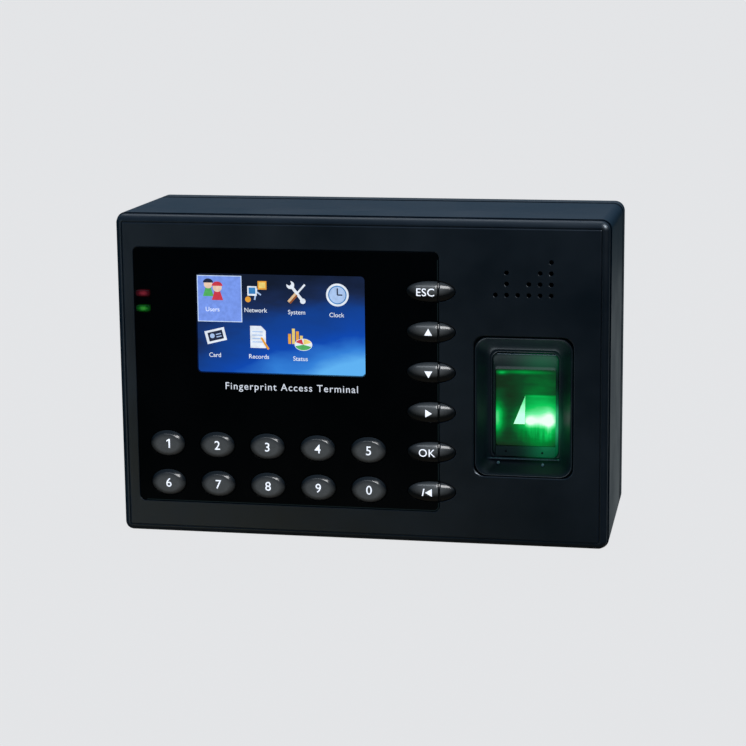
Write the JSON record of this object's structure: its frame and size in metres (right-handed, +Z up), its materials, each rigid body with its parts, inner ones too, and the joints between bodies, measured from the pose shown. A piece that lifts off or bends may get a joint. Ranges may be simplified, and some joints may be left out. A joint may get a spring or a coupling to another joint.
{
  "type": "fingerprint scanner terminal",
  "caption": "Wall-mounted fingerprint terminal with colour display, number pad, function keys, lit optical finger sensor, loudspeaker grille and steel wall plate.",
  "frame": {"origin": "centre of the wall plate's back face, which lies on the wall", "axes": "+X to the right seen from the front, +Y into the wall, +Z up; the front faces -Y"},
  "size_m": [0.187, 0.0653, 0.1235],
  "materials": {
    "shell_black": "fine moulded texture, satin blue-black",
    "panel_black": "polished acrylic, printed black behind",
    "key_smoke": "smoky grey, polished dome",
    "screen_glass": "polished display glass, lit picture",
    "lens_red": "lit light pipe",
    "lens_green": "lit light pipe",
    "bezel_black": "semi-gloss black",
    "platen_glass": "optical glass lit green",
    "board_green": "solder mask on glass-fibre board",
    "silicone_grey": "matt silicone",
    "steel": "zinc-plated",
    "diffuser_white": "matt white",
    "paper_cone": "pressed paper",
    "part_black": "moulded black",
    "socket_green": "moulded green",
    "ribbon_tan": "polyimide flat cable",
    "lens_clear": "coated lens"
  },
  "bodies": {
    "terminal": {"back_cover": "shell_black", "buzzer": "part_black", "case_screw_1": "steel", "case_screw_2": "steel", "case_screw_3": "steel", "case_screw_4": "steel", "coin_cell": "steel", "coin_cell_holder": "part_black", "display_panel": "panel_black", "front_cover": "shell_black", "function_key_mat": "silicone_grey", "keypad_board": "board_green", "keypad_ribbon": "ribbon_tan", "lcd_backlight": "diffuser_white", "lcd_frame": "steel", "lcd_glass": "screen_glass", "lcd_ribbon": "ribbon_tan", "led_green_lens": "lens_green", "led_red_lens": "lens_red", "locking_screw": "steel", "main_board": "board_green", "main_housing": "shell_black", "network_jack": "steel", "number_key_mat": "silicone_grey", "power_jack": "part_black", "processor_shield": "steel", "relay": "part_black", "sensor_bezel": "bezel_black", "sensor_board": "board_green", "sensor_cable": "ribbon_tan", "sensor_chassis": "bezel_black", "sensor_led_bar": "board_green", "sensor_lens": "lens_clear", "sensor_prism": "platen_glass", "speaker_cone": "paper_cone", "speaker_frame": "part_black", "speaker_magnet": "steel", "tamper_switch": "part_black", "terminal_block": "socket_green", "usb_socket": "steel", "wall_plate": "steel"},
    "key_0": {"key_0": "key_smoke"},
    "key_1": {"key_1": "key_smoke"},
    "key_2": {"key_2": "key_smoke"},
    "key_3": {"key_3": "key_smoke"},
    "key_4": {"key_4": "key_smoke"},
    "key_5": {"key_5": "key_smoke"},
    "key_6": {"key_6": "key_smoke"},
    "key_7": {"key_7": "key_smoke"},
    "key_8": {"key_8": "key_smoke"},
    "key_9": {"key_9": "key_smoke"},
    "key_down": {"key_down": "key_smoke"},
    "key_esc": {"key_esc": "key_smoke"},
    "key_left": {"key_left": "key_smoke"},
    "key_ok": {"key_ok": "key_smoke"},
    "key_right": {"key_right": "key_smoke"},
    "key_up": {"key_up": "key_smoke"},
    "tamper_plunger": {"tamper_plunger": "diffuser_white"}
  },
  "joints": [
    {"name": "key_0_press", "type": "slide", "parent": "terminal", "child": "key_0", "axis": [0, 1, 0], "range_m": [0, 0.0009], "stiffness_N_per_m": 1200},
    {"name": "key_1_press", "type": "slide", "parent": "terminal", "child": "key_1", "axis": [0, 1, 0], "range_m": [0, 0.0009], "stiffness_N_per_m": 1200},
    {"name": "key_2_press", "type": "slide", "parent": "terminal", "child": "key_2", "axis": [0, 1, 0], "range_m": [0, 0.0009], "stiffness_N_per_m": 1200},
    {"name": "key_3_press", "type": "slide", "parent": "terminal", "child": "key_3", "axis": [0, 1, 0], "range_m": [0, 0.0009], "stiffness_N_per_m": 1200},
    {"name": "key_4_press", "type": "slide", "parent": "terminal", "child": "key_4", "axis": [0, 1, 0], "range_m": [0, 0.0009], "stiffness_N_per_m": 1200},
    {"name": "key_5_press", "type": "slide", "parent": "terminal", "child": "key_5", "axis": [0, 1, 0], "range_m": [0, 0.0009], "stiffness_N_per_m": 1200},
    {"name": "key_6_press", "type": "slide", "parent": "terminal", "child": "key_6", "axis": [0, 1, 0], "range_m": [0, 0.0009], "stiffness_N_per_m": 1200},
    {"name": "key_7_press", "type": "slide", "parent": "terminal", "child": "key_7", "axis": [0, 1, 0], "range_m": [0, 0.0009], "stiffness_N_per_m": 1200},
    {"name": "key_8_press", "type": "slide", "parent": "terminal", "child": "key_8", "axis": [0, 1, 0], "range_m": [0, 0.0009], "stiffness_N_per_m": 1200},
    {"name": "key_9_press", "type": "slide", "parent": "terminal", "child": "key_9", "axis": [0, 1, 0], "range_m": [0, 0.0009], "stiffness_N_per_m": 1200},
    {"name": "key_down_press", "type": "slide", "parent": "terminal", "child": "key_down", "axis": [0, 1, 0], "range_m": [0, 0.0009], "stiffness_N_per_m": 1200},
    {"name": "key_esc_press", "type": "slide", "parent": "terminal", "child": "key_esc", "axis": [0, 1, 0], "range_m": [0, 0.0009], "stiffness_N_per_m": 1200},
    {"name": "key_left_press", "type": "slide", "parent": "terminal", "child": "key_left", "axis": [0, 1, 0], "range_m": [0, 0.0009], "stiffness_N_per_m": 1200},
    {"name": "key_ok_press", "type": "slide", "parent": "terminal", "child": "key_ok", "axis": [0, 1, 0], "range_m": [0, 0.0009], "stiffness_N_per_m": 1200},
    {"name": "key_right_press", "type": "slide", "parent": "terminal", "child": "key_right", "axis": [0, 1, 0], "range_m": [0, 0.0009], "stiffness_N_per_m": 1200},
    {"name": "key_up_press", "type": "slide", "parent": "terminal", "child": "key_up", "axis": [0, 1, 0], "range_m": [0, 0.0009], "stiffness_N_per_m": 1200},
    {"name": "tamper_press", "type": "slide", "parent": "terminal", "child": "tamper_plunger", "axis": [0, -1, 0], "range_m": [0, 0.0006], "stiffness_N_per_m": 600}
  ]
}
